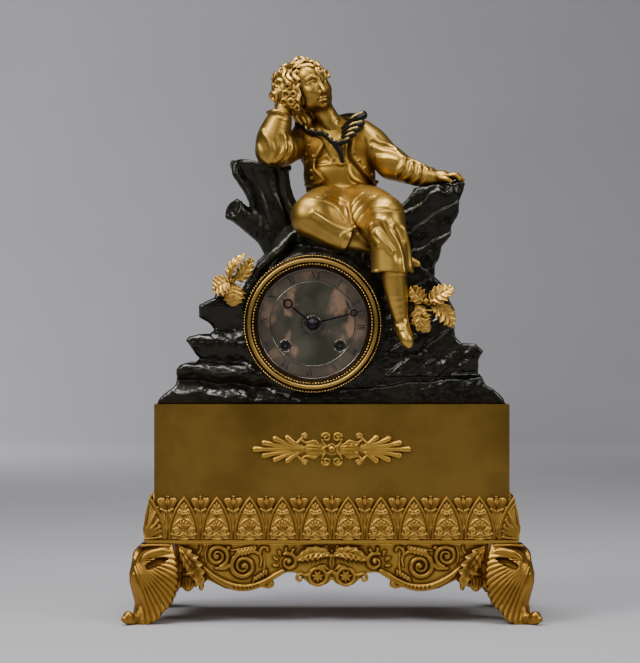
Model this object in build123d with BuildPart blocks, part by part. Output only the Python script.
from build123d import *
import math
import os

# Figural mantel clock: a youth rests on a rock that holds the movement, above a plinth on shell feet.
# Millimetres. +Z is up, the dial faces -Y, and the origin is on the floor under the middle of the base.
# Names that end in share or shares hold proportions of the size that they are multiplied by.

# Clearances
OVERRUN = 2.0
RUNNING_GAP = 0.05
SEAT_GAP = 0.3
END_SHAKE = 0.3

# Plinth and base plate
PLINTH_LENGTH = 298.0
PLINTH_DEPTH = 105.5
PLINTH_HEIGHT = 113.4
PLINTH_WALL = 3.0
BASE_PLATE_HEIGHT = 2.7
BASE_PLATE_OVERHANG = 6.4

# Feet: height, reach of the toe past the plinth, and length of the wing along each plinth face
FOOT_HEIGHT = 66.5
FOOT_REACH = 25.5
FOOT_WING = 21.0
FOOT_CHAMFER = 9.0
TOE_RADIUS = 5.0
TOE_ROOT_REACH = 4.0
TOE_ROOT_SHARE = 0.96
TOE_NECK_SHARE = 0.84
# Level, reach, wing end and inner corner of each section, from the floor up
FOOT_SECTION_SHARES = (
    (0.00, 0.60, 0.35, -0.10),
    (0.19, 0.60, 0.45, -0.10),
    (0.30, 0.58, 0.76, -0.05),
    (0.43, 0.70, 1.00, -0.05),
    (0.62, 0.77, 1.00, 0.10),
    (0.75, 0.70, 0.95, 0.30),
    (0.90, 0.43, 0.82, 0.60),
    (1.00, 0.22, 0.80, 0.65),
)

# Aprons between the feet
APRON_HEIGHT = 40.9
APRON_THICKNESS = 6.0
APRON_PROUD = 4.0
# Lower edge of the band: place along the half length and drop, from the foot to the middle
FRONT_APRON_EDGE_SHARES = (
    (1.0, 0.0), (0.985, 0.60), (0.88, 0.74), (0.80, 0.74), (0.72, 0.84), (0.52, 0.84),
    (0.42, 0.74), (0.35, 0.60), (0.25, 0.60), (0.16, 0.66), (0.0, 0.72),
)
SIDE_APRON_EDGE_SHARES = ((1.0, 0.0), (0.97, 0.55), (0.60, 0.66), (0.35, 0.62), (0.0, 0.70))
# Each lobe below the band: place, lowest point, half width and half height
FRONT_APRON_LOBE_SHARES = (
    (0.938, 1.00, 0.13, 0.22),
    (0.853, 0.96, 0.11, 0.16),
    (0.624, 0.98, 0.50, 0.30),
    (0.409, 0.92, 0.12, 0.12),
    (0.211, 0.72, 0.13, 0.13),
    (0.092, 0.91, 0.175, 0.175),
)
SIDE_APRON_LOBE_SHARES = (
    (0.70, 0.86, 0.20, 0.20),
    (0.22, 0.90, 0.17, 0.17),
)

# Frieze around the foot of the plinth
FRIEZE_HEIGHT = 37.0
FRIEZE_PROJECTION = 8.4
FRIEZE_PROFILE_SHARES = ((0.0, 0.0), (0.90, 0.0), (1.0, 0.27), (0.74, 0.65), (0.40, 1.0), (0.0, 1.0))
# Row of pointed arch frames that stand out from the frieze
ARCH_PITCH = 27.5
FRONT_ARCHES = 10
SIDE_ARCHES = 3
ARCH_WIDTH_SHARE = 0.94
ARCH_RIB_WIDTH = 2.6
ARCH_RELIEF = 1.5
ARCH_HAUNCH_SHARES = (0.80, 0.52)

# Palmette mount on the plinth front
MOUNT_LENGTH = 135.6
MOUNT_HEIGHT = 29.4
MOUNT_THICKNESS = 4.0
MOUNT_RISE = 75.8
MOUNT_BOSS_RADIUS = 3.6
MOUNT_BOSS_HEIGHT = 2.5
MOUNT_STEM_SHARES = (0.36, 0.50)
MOUNT_ROOT_SHARE = 0.16
MOUNT_LOBE_WIDTH_SHARE = 0.09
MOUNT_LOBE_ANGLES = (0.0, 11.0, 22.0, 38.0)
MOUNT_LOBE_REACH_SHARES = (0.34, 0.28, 0.21, 0.145)
MOUNT_VOLUTE_SHARES = ((0.034, 0.34), (0.155, 0.36))
MOUNT_VOLUTE_RADIUS_SHARE = 0.13

# Rock casting
ROCK_LENGTH = 294.3
ROCK_HEIGHT = 148.5
ROCK_DEPTH = 100.0
ROCK_FRONT_SHARES = (
    (-0.499, 0.0), (-0.455, 0.104), (-0.442, 0.126), (-0.442, 0.213), (-0.427, 0.236), (-0.398, 0.235),
    (-0.381, 0.263), (-0.414, 0.335), (-0.405, 0.376), (-0.332, 0.399), (-0.381, 0.493), (-0.381, 0.562),
    (-0.332, 0.613), (-0.277, 0.761), (-0.200, 0.852), (-0.091, 0.960), (0.024, 1.0), (0.138, 0.960),
    (0.211, 0.871), (0.299, 0.704), (0.364, 0.426), (0.353, 0.377), (0.412, 0.347), (0.440, 0.302),
    (0.422, 0.246), (0.422, 0.181), (0.435, 0.148), (0.465, 0.090), (0.501, 0.0),
)
ROCK_SIDE_SHARES = (
    (-0.50, 0.0), (-0.48, 0.08), (-0.46, 0.855), (-0.34, 0.875), (-0.22, 1.0),
    (0.30, 1.0), (0.46, 0.84), (0.48, 0.08), (0.50, 0.0),
)
# Ledges left of the dial: levels of the lip above, the groove and the lip below, and where each ends
LEDGE_LEVEL_SHARES = ((0.540, 0.420, 0.345), (0.335, 0.252, 0.185), (0.175, 0.118, 0.045))
LEDGE_END_SHARES = (-0.268, -0.262, -0.212)
LEDGE_DEPTH = 11.0
# Strata right of the dial: foot and head of each slanting groove, and its depth
STRATA_SHARES = (
    ((0.155, 0.135), (0.56, 0.190)),
    ((0.160, 0.205), (0.40, 0.445)),
    ((0.240, 0.200), (0.46, 0.405)),
)
STRATA_WIDTH = 9.0
STRATA_DEPTH = 8.0
# Cored pockets that lighten the casting from below: middle and length
POCKET_PLACES = (-90.0, 63.0)
POCKET_LENGTH = 38.0
POCKET_DEPTH = 72.0
POCKET_HEIGHT = 44.0

# Tree stump under the right elbow: its foot, top and half width follow the figure
STUMP_FOOT_SHARES = (-0.194, -0.0444)
STUMP_TOP_SHARE = 0.1282
STUMP_RADIUS_SHARE = 0.1008
STUMP_SINK = 28.0
STUMP_DEPTH_SHARE = 0.8
# Level, middle and half width of each section, as shares of its height and top half width
STUMP_SECTION_SHARES = (
    (0.0, 0.0, 1.04),
    (0.31, -0.32, 0.88),
    (0.55, -0.48, 0.84),
    (0.80, -0.72, 0.90),
    (1.0, -0.92, 1.0),
)
BRANCH_START_SHARES = (-0.45, 0.20)
BRANCH_END_SHARES = (-1.86, 0.55)
BRANCH_BASE_RADIUS = 13.0
BRANCH_END_RADIUS = 9.5

# Rock pillar under the left hand: its place, size, top and foot follow the figure
PILLAR_MIDDLE_SHARES = (0.296, -0.0565)
PILLAR_LENGTH_SHARE = 0.254
PILLAR_DEPTH_SHARE = 0.1935
PILLAR_TOP_SHARE = 0.0754
PILLAR_FOOT_SHARE = 0.2673377
PILLAR_FRONT_SHARES = (
    (-0.44, 0.11), (-0.49, 0.45), (-0.45, 0.73), (-0.28, 0.82), (-0.22, 0.90), (0.05, 0.945), (0.48, 1.0),
    (0.51, 0.945), (0.42, 0.80), (0.40, 0.665), (0.32, 0.43), (0.18, 0.30), (0.185, 0.255), (0.09, 0.14),
    (0.11, 0.0),
)
PILLAR_SIDE_SHARES = ((-0.50, 0.0), (-0.46, 0.80), (-0.36, 1.0), (0.36, 1.0), (0.46, 0.80), (0.50, 0.0))

# Leaf sprays on the rock: stem place, seat depth, leaf bearings in degrees and leaf lengths
LEAF_THICKNESS = 3.0
LEAF_LENGTH = 27.0
LEAF_WIDTH_SHARE = 0.44
LEAF_DISC_SHARE = 0.17
LEAF_BUD_SHARE = 0.11
LEFT_SPRAY_PLACE = -84.0
LEFT_SPRAY_RISE = 100.4
LEFT_SPRAY_BEARINGS = (40.0, 90.0, 140.0, 215.0, 285.0)
LEFT_SPRAY_SHARES = (0.84, 0.86, 0.80, 0.78, 0.72)
RIGHT_SPRAY_PLACE = 82.5
RIGHT_SPRAY_RISE = 85.4
RIGHT_SPRAY_BEARINGS = (20.0, 85.0, 150.0, 235.0, 310.0)
RIGHT_SPRAY_SHARES = (0.80, 0.66, 0.74, 0.86, 1.0)

# Figure: places are shares of its height from the middle of the seat
FIGURE_HEIGHT = 248.0
SEAT_PLACE = (10.1, 16.0)
SEAT_RISE = 24.2
JOINT_SWELL_SHARE = 1.04
# Centre, half width and half depth of the body's sections, from the hips to the shoulders
HIP_SECTION_SHARES = (
    ((0.0, 0.0, -0.085), 0.085, 0.075),
    ((0.0, 0.0, -0.010), 0.112, 0.090),
    ((0.0, 0.004, 0.050), 0.108, 0.082),
)
TORSO_SECTION_SHARES = (
    ((0.0, 0.004, 0.050), 0.122, 0.090),
    ((-0.010, 0.0, 0.115), 0.124, 0.092),
    ((-0.018, -0.008, 0.178), 0.132, 0.092),
    ((-0.028, -0.014, 0.240), 0.122, 0.078),
    ((-0.034, -0.016, 0.276), 0.066, 0.056),
)
NECK_SHARES = ((-0.034, -0.016, 0.262), (-0.075, -0.036, 0.320))
NECK_RADIUS_SHARES = (0.044, 0.038)
SKULL_SHARES = (-0.112, -0.062, 0.380)
SKULL_AXIS_SHARES = (-0.30, -0.02, 1.0)
SKULL_SIZE_SHARES = (0.090, 0.070)
HAIR_SHARES = (-0.150, -0.030, 0.404)
HAIR_SIZE_SHARES = (0.098, 0.098)
COLLAR_SHARES = (-0.036, -0.030, 0.264)
COLLAR_AXIS_SHARES = (-0.15, -0.30, 1.0)
COLLAR_SIZE_SHARES = (0.064, 0.026)
RIGHT_ARM_SHARES = (
    (-0.136, -0.016, 0.240),
    (-0.230, -0.100, 0.160),
    (-0.222, -0.097, 0.275),
    (-0.196, -0.089, 0.345),
)
RIGHT_ARM_RADIUS_SHARES = (0.054, 0.050, 0.044, 0.024)
LEFT_ARM_SHARES = (
    (0.072, -0.024, 0.246),
    (0.176, -0.065, 0.135),
    (0.290, -0.097, 0.090),
    (0.405, -0.100, 0.082),
)
LEFT_ARM_RADIUS_SHARES = (0.060, 0.058, 0.040, 0.022)
RIGHT_LEG_SHARES = (
    (-0.053, -0.024, -0.020),
    (-0.118, -0.242, -0.062),
    (0.000, -0.232, -0.130),
    (0.130, -0.205, -0.160),
)
RIGHT_LEG_RADIUS_SHARES = (0.076, 0.058, 0.048, 0.026)
LEFT_LEG_SHARES = ((0.046, -0.024, -0.020), (0.147, -0.266, -0.062), (0.162, -0.312, -0.248))
LEFT_LEG_RADIUS_SHARES = (0.078, 0.060, 0.062)
LEFT_CALF_SHARES = (
    (0.168, -0.300, -0.240),
    (0.178, -0.295, -0.300),
    (0.196, -0.300, -0.410),
    (0.218, -0.328, -0.495),
)
LEFT_CALF_RADIUS_SHARES = (0.042, 0.040, 0.022, 0.019)

# Bezel and dial
DIAL_PLACE = -16.1
DIAL_RISE = 67.6
BEZEL_RADIUS = 57.4
BEZEL_HEIGHT = 12.0
BEZEL_SEAT_INSET = 5.0
# Radius as a share of the bezel radius, height as a share of the bezel height
BEZEL_PROFILE_SHARES = (
    (0.815, 0.167), (0.815, 0.300), (0.857, 0.767), (0.885, 0.800), (0.900, 0.883), (0.937, 1.0),
    (0.976, 0.850), (0.983, 0.333), (1.0, 0.208), (1.0, 0.0), (0.850, 0.0), (0.850, 0.167),
)
DIAL_THICKNESS = 1.2
DIAL_FRONT_SHARE = 0.167
DIAL_RADIUS_SHARE = 0.846
DIAL_HOLE_RADIUS = 3.2
WINDING_HOLE_RADIUS = 4.5
MOVEMENT_BORE_RADIUS = 50.0

# Hands, shown at about twelve minutes past ten; bearings are clockwise from twelve
HAND_THICKNESS = 0.8
HAND_GAP = 1.5
HOUR_BEARING = 309.0
HOUR_LENGTH = 34.2
HOUR_HUB_RADIUS = 5.2
HOUR_MOON_SHARE = 0.78
HOUR_MOON_RADIUS = 4.2
MINUTE_BEARING = 75.5
MINUTE_LENGTH = 45.2
MINUTE_HUB_RADIUS = 4.2
MINUTE_MOON_SHARE = 0.79
MINUTE_MOON_RADIUS = 3.1
MOON_HOLE_SHARE = 0.62
HAND_ROOT_WIDTH = 2.0
HAND_TIP_WIDTH = 0.6
HAND_NUT_RADIUS = 2.4
HAND_NUT_HEIGHT = 1.4

# Movement frame
MOTION_SPACE = 8.0
PLATE_RADIUS = 45.0
PLATE_THICKNESS = 2.0
PLATE_SPACING = 28.0
PILLAR_RADIUS = 2.5
PILLAR_CIRCLE = 41.0
PILLAR_BEARINGS = (25.0, 110.0, 150.0, 270.0)
DIAL_FOOT_RADIUS = 1.5
DIAL_FOOT_CIRCLE = 36.0
DIAL_FOOT_BEARINGS = (60.0, 180.0, 300.0)
ARBOR_RADIUS = 1.2
PIVOT_RADIUS = 0.8

# Wheelwork: tooth counts and modules
TOOTH_HALF_SHARE = 0.19
TIP_HALF_SHARE = 0.06
ADDENDUM_SHARE = 0.90
DEDENDUM_SHARE = 1.25
TRAIN_MODULE = 0.5
FINE_MODULE = 0.4
BARREL_TEETH = 72
PINION_LEAVES = 12
INTERMEDIATE_TEETH = 60
CENTRE_TEETH = 60
THIRD_LEAVES = 10
THIRD_TEETH = 50
ESCAPE_LEAVES = 10
ESCAPE_TEETH = 30
PIN_WHEEL_TEETH = 40
CANNON_LEAVES = 14
MINUTE_WHEEL_TEETH = 42
MINUTE_PINION_LEAVES = 10
HOUR_WHEEL_TEETH = 40
WHEEL_THICKNESS = 1.4
PINION_LENGTH = 3.4

# Places in the movement, from the dial centre
WINDING_SPREAD = 23.0
WINDING_DROP = 18.7
THIRD_BEARING = 70.0
PIN_WHEEL_BEARING = 90.0
FLY_BEARING = 60.0
MINUTE_WHEEL_BEARING = 200.0

# Levels behind the front plate at which each wheel starts
CENTRE_WHEEL_LEVEL = 1.2
DRUM_LEVEL = 4.0
GREAT_WHEEL_LEVEL = 18.5
SECOND_PINION_LEVEL = 17.6
SECOND_WHEEL_LEVEL = 23.2
CENTRE_PINION_LEVEL = 22.2
THIRD_WHEEL_LEVEL = 11.8
ESCAPE_PINION_LEVEL = 10.8
FLY_VANE_LEVEL = 6.0
TAIL_LEVEL = 25.2
# Levels in front of the front plate
RATCHET_LEVEL = 0.4
CANNON_LEVEL = 0.6
MINUTE_WHEEL_LEVEL = 1.2
HOUR_WHEEL_LEVEL = 4.4
HOUR_PIPE_WALL = 0.95
CANNON_RADIUS = 1.9

# Barrels, winding arbors, ratchets and clicks
DRUM_RADIUS = 16.0
WINDING_RADIUS = 2.0
WINDING_SQUARE = 2.6
RATCHET_RADIUS = 7.0
RATCHET_DEPTH = 1.0
RATCHET_TEETH = 20
RATCHET_THICKNESS = 1.2
CLICK_CLEARANCE = 0.35
CLICK_LENGTH = 8.0
CLICK_WIDTH = 2.2
CLICK_PIVOT_RADIUS = 1.0

# Escapement, crutch, suspension and pendulum
ESCAPE_RADIUS = 7.5
ESCAPE_TOOTH_DEPTH = 1.3
ANCHOR_RISE = 11.0
ANCHOR_ARM_WIDTH = 1.8
PALLET_ANGLE = 50.0
PALLET_CLEARANCE = 1.0
CRUTCH_LENGTH = 26.0
CRUTCH_LEVEL = 1.4
CRUTCH_PRONG_GAP = 0.3
COCK_POST_SPREAD = 9.0
COCK_POST_RISE = 4.0
COCK_POST_RADIUS = 2.0
COCK_REACH = 12.0
COCK_THICKNESS = 2.0
STUD_RADIUS = 1.2
PENDULUM_LEVEL = 9.3
PENDULUM_LENGTH = 128.0
PENDULUM_THICKNESS = 2.0
EYE_WALL = 1.6
ROD_WIDTH = 1.8
BOB_RADIUS = 15.0
BOB_HALF_THICKNESS = 4.5
BOB_RIM = 0.8
BOB_BULGE_SHARES = (0.55, 0.82)
RATING_NUT_RADIUS = 2.6
RATING_NUT_HEIGHT = 4.0
PENDULUM_SLOT_MARGIN = 4.0
PENDULUM_SWING = 4.0

# Strike: pins, fly, hammer and bell
PIN_COUNT = 8
PIN_CIRCLE = 7.5
PIN_RADIUS = 0.6
PIN_LENGTH = 1.6
FLY_RADIUS = 7.0
FLY_LENGTH = 12.0
FLY_THICKNESS = 0.8
BELL_DROP = 6.0
BELL_RADIUS = 28.0
BELL_WALL = 2.0
BELL_LEVEL = 18.0
BELL_DEPTH = 18.0
BELL_CROWN_SHARE = 0.45
BELL_STAND_SPREAD = 40.0
BELL_STAND_RADIUS = 2.0
BELL_BAR_WIDTH = 6.0
BELL_BAR_THICKNESS = 2.0
BELL_NUT_RADIUS = 3.2
HAMMER_BEARING = 120.0
HAMMER_ARM = 23.0
HAMMER_ARM_WIDTH = 1.6
HAMMER_HEAD_RADIUS = 3.0
HAMMER_HEAD_LENGTH = 4.0
HAMMER_REST_GAP = 0.5
HAMMER_TAIL_GAP = 0.5
HAMMER_LEVEL = 20.0

# Rear ring and door
REAR_SEAT_INSET = 7.0
REAR_RING_RADIUS = 57.0
REAR_RING_THICKNESS = 2.0
DOOR_THICKNESS = 1.5
DOOR_LAP = 3.0
STRAP_WIDTH = 8.0
STRAP_THICKNESS = 1.5
STRAP_GAP = 1.6
KNUCKLE_RADIUS = 1.8
KNUCKLE_LENGTH = 10.0
HINGE_PIN_RADIUS = 0.8
DOOR_KNOB_RADIUS = 2.5
DOOR_KNOB_LENGTH = 4.0

# Studs, nuts and foot screws
STUD_PLACES = ((-122.0, -30.0), (-122.0, 30.0), (112.0, -30.0), (112.0, 30.0))
ROCK_STUD_RADIUS = 2.5
ROCK_STUD_BITE = 9.0
NUT_RADIUS = 5.0
NUT_HEIGHT = 4.0
FOOT_SCREW_INSET = 8.0
FOOT_SCREW_RADIUS = 1.8
FOOT_SCREW_BITE = 7.0
FOOT_SCREW_HEAD_RADIUS = 3.4
FOOT_SCREW_HEAD_HEIGHT = 2.0

# Levels worked out from the sizes above
BASE_TOP = FOOT_HEIGHT + BASE_PLATE_HEIGHT
PLINTH_TOP = BASE_TOP + PLINTH_HEIGHT
ROCK_TOP = PLINTH_TOP + ROCK_HEIGHT
HALF_LENGTH = PLINTH_LENGTH / 2
HALF_DEPTH = PLINTH_DEPTH / 2
DIAL_LEVEL = PLINTH_TOP + DIAL_RISE
BEZEL_SEAT_DEPTH = BEZEL_SEAT_INSET - ROCK_DEPTH / 2
DIAL_FRONT = BEZEL_SEAT_DEPTH - BEZEL_HEIGHT * DIAL_FRONT_SHARE
DIAL_BACK = DIAL_FRONT + DIAL_THICKNESS
DIAL_RADIUS = BEZEL_RADIUS * DIAL_RADIUS_SHARE
FRONT_PLATE_FRONT = DIAL_BACK + MOTION_SPACE
FRONT_PLATE_BACK = FRONT_PLATE_FRONT + PLATE_THICKNESS
BACK_PLATE_FRONT = FRONT_PLATE_BACK + PLATE_SPACING
BACK_PLATE_BACK = BACK_PLATE_FRONT + PLATE_THICKNESS
HOUR_HAND_BACK = DIAL_FRONT - HAND_GAP
MINUTE_HAND_BACK = HOUR_HAND_BACK - HAND_THICKNESS - HAND_GAP
MINUTE_HAND_FRONT = MINUTE_HAND_BACK - HAND_THICKNESS
FROM_BASE = (Align.CENTER, Align.CENTER, Align.MIN)


def pitch_radius(teeth, module):
    return teeth * module / 2


def polar(place, reach, bearing):
    """The place at a reach from another, along a bearing in degrees from +X towards +Z."""
    angle = math.radians(bearing)
    return (place[0] + reach * math.cos(angle), place[1] + reach * math.sin(angle))


def meeting_place(first, first_reach, second, second_reach):
    """The upper crossing of two circles, where an arbor stands that meshes with both."""
    span = math.dist(first, second)
    along = (first_reach**2 - second_reach**2 + span**2) / (2 * span)
    aside = math.sqrt(first_reach**2 - along**2)
    step = ((second[0] - first[0]) / span, (second[1] - first[1]) / span)
    return (first[0] + along * step[0] - aside * step[1], first[1] + along * step[1] + aside * step[0])


def meshed_phase(driver, driver_teeth, driver_phase, place, teeth):
    """The turn that puts a gap of one wheel opposite a tooth of the wheel that drives it."""
    line = math.degrees(math.atan2(place[1] - driver[1], place[0] - driver[0]))
    driver_part = (line - driver_phase) * driver_teeth / 360
    return line + 180 - (0.5 - driver_part) * 360 / teeth


# Arbor places, as (x, z) from the dial centre
CENTRE = (0.0, 0.0)
GOING_BARREL = (WINDING_SPREAD, -WINDING_DROP)
STRIKE_BARREL = (-WINDING_SPREAD, -WINDING_DROP)
BARREL_REACH = pitch_radius(BARREL_TEETH + PINION_LEAVES, TRAIN_MODULE)
INTERMEDIATE = meeting_place(
    CENTRE, pitch_radius(INTERMEDIATE_TEETH + PINION_LEAVES, TRAIN_MODULE), GOING_BARREL, BARREL_REACH
)
THIRD = polar(CENTRE, pitch_radius(CENTRE_TEETH + THIRD_LEAVES, TRAIN_MODULE), THIRD_BEARING)
THIRD_REACH = pitch_radius(THIRD_TEETH + ESCAPE_LEAVES, FINE_MODULE)
ESCAPE = (0.0, THIRD[1] + math.sqrt(THIRD_REACH**2 - THIRD[0] ** 2))
ANCHOR = (0.0, ESCAPE[1] + ANCHOR_RISE)
PIN_WHEEL = polar(STRIKE_BARREL, BARREL_REACH, PIN_WHEEL_BEARING)
FLY = polar(PIN_WHEEL, pitch_radius(PIN_WHEEL_TEETH + PINION_LEAVES, TRAIN_MODULE), FLY_BEARING)
MOTION_REACH = pitch_radius(CANNON_LEAVES + MINUTE_WHEEL_TEETH, FINE_MODULE)
MINUTE_WHEEL = polar(CENTRE, MOTION_REACH, MINUTE_WHEEL_BEARING)
HOUR_MODULE = 2 * MOTION_REACH / (MINUTE_PINION_LEAVES + HOUR_WHEEL_TEETH)
BELL = (0.0, -BELL_DROP)
HAMMER_HEAD = polar(BELL, BELL_RADIUS + HAMMER_HEAD_RADIUS + HAMMER_REST_GAP, HAMMER_BEARING)
HAMMER = polar(HAMMER_HEAD, HAMMER_ARM, HAMMER_BEARING + 90)

# Turns of the wheels that put every pair in mesh
GOING_BARREL_PHASE = 0.0
INTERMEDIATE_PINION_PHASE = meshed_phase(
    GOING_BARREL, BARREL_TEETH, GOING_BARREL_PHASE, INTERMEDIATE, PINION_LEAVES
)
CENTRE_PINION_PHASE = meshed_phase(
    INTERMEDIATE, INTERMEDIATE_TEETH, INTERMEDIATE_PINION_PHASE, CENTRE, PINION_LEAVES
)
THIRD_PINION_PHASE = meshed_phase(CENTRE, CENTRE_TEETH, CENTRE_PINION_PHASE, THIRD, THIRD_LEAVES)
ESCAPE_PINION_PHASE = meshed_phase(THIRD, THIRD_TEETH, THIRD_PINION_PHASE, ESCAPE, ESCAPE_LEAVES)
MINUTE_WHEEL_PHASE = meshed_phase(
    CENTRE, CANNON_LEAVES, CENTRE_PINION_PHASE, MINUTE_WHEEL, MINUTE_WHEEL_TEETH
)
HOUR_WHEEL_PHASE = meshed_phase(
    MINUTE_WHEEL, MINUTE_PINION_LEAVES, MINUTE_WHEEL_PHASE, CENTRE, HOUR_WHEEL_TEETH
)
STRIKE_BARREL_PHASE = 0.0
PIN_WHEEL_PHASE = meshed_phase(STRIKE_BARREL, BARREL_TEETH, STRIKE_BARREL_PHASE, PIN_WHEEL, PINION_LEAVES)
FLY_PHASE = meshed_phase(PIN_WHEEL, PIN_WHEEL_TEETH, PIN_WHEEL_PHASE, FLY, PINION_LEAVES)

os.makedirs("parts", exist_ok=True)


def save(builder, label):
    builder.part.label = label
    export_step(builder.part, f"parts/{label}.step")


def block(low, high, mode=Mode.ADD):
    """Adds a box between two opposite corners."""
    middle = Vector(*[(a + b) / 2 for a, b in zip(low, high)])
    with Locations(middle):
        Box(*[b - a for a, b in zip(low, high)], mode=mode)


def face_outline(points):
    """Fills a closed outline of straight edges in the sketch at hand."""
    with BuildLine() as outline:
        Polyline(*points, close=True)
    make_face(outline.edges())


# Feet: a chamfered corner bracket lofted through plan sections, with a ball toe on the diagonal
def foot_section(level, reach, wing, core):
    """The plan outline of the rear right foot at one level."""
    out_x = HALF_LENGTH + reach
    out_y = HALF_DEPTH + reach
    with BuildSketch(Plane.XY.offset(level)) as section:
        face_outline(
            [
                (HALF_LENGTH - wing, out_y),
                (out_x - FOOT_CHAMFER, out_y),
                (out_x, out_y - FOOT_CHAMFER),
                (out_x, HALF_DEPTH - wing),
                (HALF_LENGTH - core, HALF_DEPTH - wing),
                (HALF_LENGTH - core, HALF_DEPTH - core),
                (HALF_LENGTH - wing, HALF_DEPTH - core),
            ]
        )
    return section.sketch


def toe_point(reach):
    return Vector(HALF_LENGTH + reach, HALF_DEPTH + reach, TOE_RADIUS)


FOOT_SCREW_X = HALF_LENGTH - FOOT_SCREW_INSET
FOOT_SCREW_Y = HALF_DEPTH - FOOT_SCREW_INSET
FOOT_SCREW_PLACES = [(side * FOOT_SCREW_X, end * FOOT_SCREW_Y) for side in (-1, 1) for end in (-1, 1)]


def make_foot(label, side, end):
    """Writes one foot; side and end are the signs of its X and Y."""
    toe = toe_point(FOOT_REACH - TOE_RADIUS)
    toe_root = toe_point(TOE_ROOT_REACH)
    with BuildPart() as foot:
        sections = [
            foot_section(FOOT_HEIGHT * level, FOOT_REACH * reach, FOOT_WING * wing, FOOT_WING * core)
            for level, reach, wing, core in FOOT_SECTION_SHARES
        ]
        loft(sections, ruled=True)
        with Locations(Plane(origin=toe_root, z_dir=toe - toe_root)):
            Cone(
                TOE_RADIUS * TOE_ROOT_SHARE,
                TOE_RADIUS * TOE_NECK_SHARE,
                (toe - toe_root).length,
                align=FROM_BASE,
            )
        with Locations(toe):
            Sphere(TOE_RADIUS)
        with BuildSketch(Plane.XY.offset(FOOT_HEIGHT)):
            with Locations((FOOT_SCREW_X, FOOT_SCREW_Y)):
                Circle(FOOT_SCREW_RADIUS)
        extrude(amount=-FOOT_SCREW_BITE, mode=Mode.SUBTRACT)
        if side < 0:
            mirror(about=Plane.YZ, mode=Mode.REPLACE)
        if end < 0:
            mirror(about=Plane.XZ, mode=Mode.REPLACE)
    save(foot, label)


make_foot("foot_front_left", -1, -1)
make_foot("foot_front_right", 1, -1)
make_foot("foot_rear_left", -1, 1)
make_foot("foot_rear_right", 1, 1)


# Aprons: a band with a broken lower edge and a row of round lobes, alike about the middle
def apron_outline(half, edge, lobes):
    """Fills an apron outline; its local Y is the height above the floor."""
    right = [(half * along, FOOT_HEIGHT - APRON_HEIGHT * drop) for along, drop in edge]
    left = [(-along, level) for along, level in reversed(right[:-1])]
    face_outline(right + left)
    for along, low, half_width, half_height in lobes:
        level = FOOT_HEIGHT - APRON_HEIGHT * (low - half_height)
        with Locations((half * along, level), (-half * along, level)):
            Ellipse(APRON_HEIGHT * half_width, APRON_HEIGHT * half_height)


FRONT_APRON_HALF = HALF_LENGTH - FOOT_WING - SEAT_GAP
SIDE_APRON_HALF = HALF_DEPTH - FOOT_WING - SEAT_GAP

with BuildPart() as apron_front:
    with BuildSketch(Plane.XZ.offset(HALF_DEPTH + APRON_PROUD)):
        apron_outline(FRONT_APRON_HALF, FRONT_APRON_EDGE_SHARES, FRONT_APRON_LOBE_SHARES)
    extrude(amount=-APRON_THICKNESS)
save(apron_front, "apron_front")

with BuildPart() as apron_right:
    with BuildSketch(Plane.YZ.offset(HALF_LENGTH + APRON_PROUD)):
        apron_outline(SIDE_APRON_HALF, SIDE_APRON_EDGE_SHARES, SIDE_APRON_LOBE_SHARES)
    extrude(amount=-APRON_THICKNESS)
save(apron_right, "apron_right")

with BuildPart() as apron_left:
    with BuildSketch(Plane.YZ.offset(-HALF_LENGTH - APRON_PROUD)):
        apron_outline(SIDE_APRON_HALF, SIDE_APRON_EDGE_SHARES, SIDE_APRON_LOBE_SHARES)
    extrude(amount=APRON_THICKNESS)
save(apron_left, "apron_left")

# Base plate that the feet and aprons hang from and the plinth stands on
with BuildPart() as base_plate:
    with BuildSketch(Plane.XY.offset(FOOT_HEIGHT)):
        Rectangle(PLINTH_LENGTH + 2 * BASE_PLATE_OVERHANG, PLINTH_DEPTH + 2 * BASE_PLATE_OVERHANG)
        with Locations(*FOOT_SCREW_PLACES):
            Circle(FOOT_SCREW_RADIUS + RUNNING_GAP, mode=Mode.SUBTRACT)
    extrude(amount=BASE_PLATE_HEIGHT)
save(base_plate, "base_plate")

# Friezes: one profile, mitred at the front corners and cut flush with the back of the plinth
RIGHT_MITRE = Plane(origin=(HALF_LENGTH, -HALF_DEPTH, 0), z_dir=(1, 1, 0))
LEFT_MITRE = Plane(origin=(-HALF_LENGTH, -HALF_DEPTH, 0), z_dir=(-1, 1, 0))


def frieze_profile(face, outward, projection):
    """Fills the frieze profile against a plinth face; outward is the sign of its projection."""
    face_outline(
        [
            (outward * (face + projection * out), BASE_TOP + FRIEZE_HEIGHT * up)
            for out, up in FRIEZE_PROFILE_SHARES
        ]
    )


def lancet(middle, half_width, height, mode):
    """Fills a pointed arch that stands on the base in the sketch at hand."""
    haunch = half_width * ARCH_HAUNCH_SHARES[0]
    haunch_level = BASE_TOP + height * ARCH_HAUNCH_SHARES[1]
    apex = (middle, BASE_TOP + height)
    left = (middle - half_width, BASE_TOP)
    right = (middle + half_width, BASE_TOP)
    with BuildLine() as outline:
        ThreePointArc(left, (middle - haunch, haunch_level), apex)
        ThreePointArc(apex, (middle + haunch, haunch_level), right)
        Line(right, left)
    make_face(outline.edges(), mode=mode)


def add_arches(plane, count):
    """Adds a row of arch frames, from a plinth face out to the reach of the frieze."""
    half_width = ARCH_PITCH * ARCH_WIDTH_SHARE / 2
    with BuildSketch(plane) as frames:
        for k in range(count):
            middle = (k - (count - 1) / 2) * ARCH_PITCH
            lancet(middle, half_width, FRIEZE_HEIGHT, Mode.ADD)
            lancet(middle, half_width - ARCH_RIB_WIDTH, FRIEZE_HEIGHT - 2 * ARCH_RIB_WIDTH, Mode.SUBTRACT)
    extrude(frames.sketch, amount=FRIEZE_PROJECTION)


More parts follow.
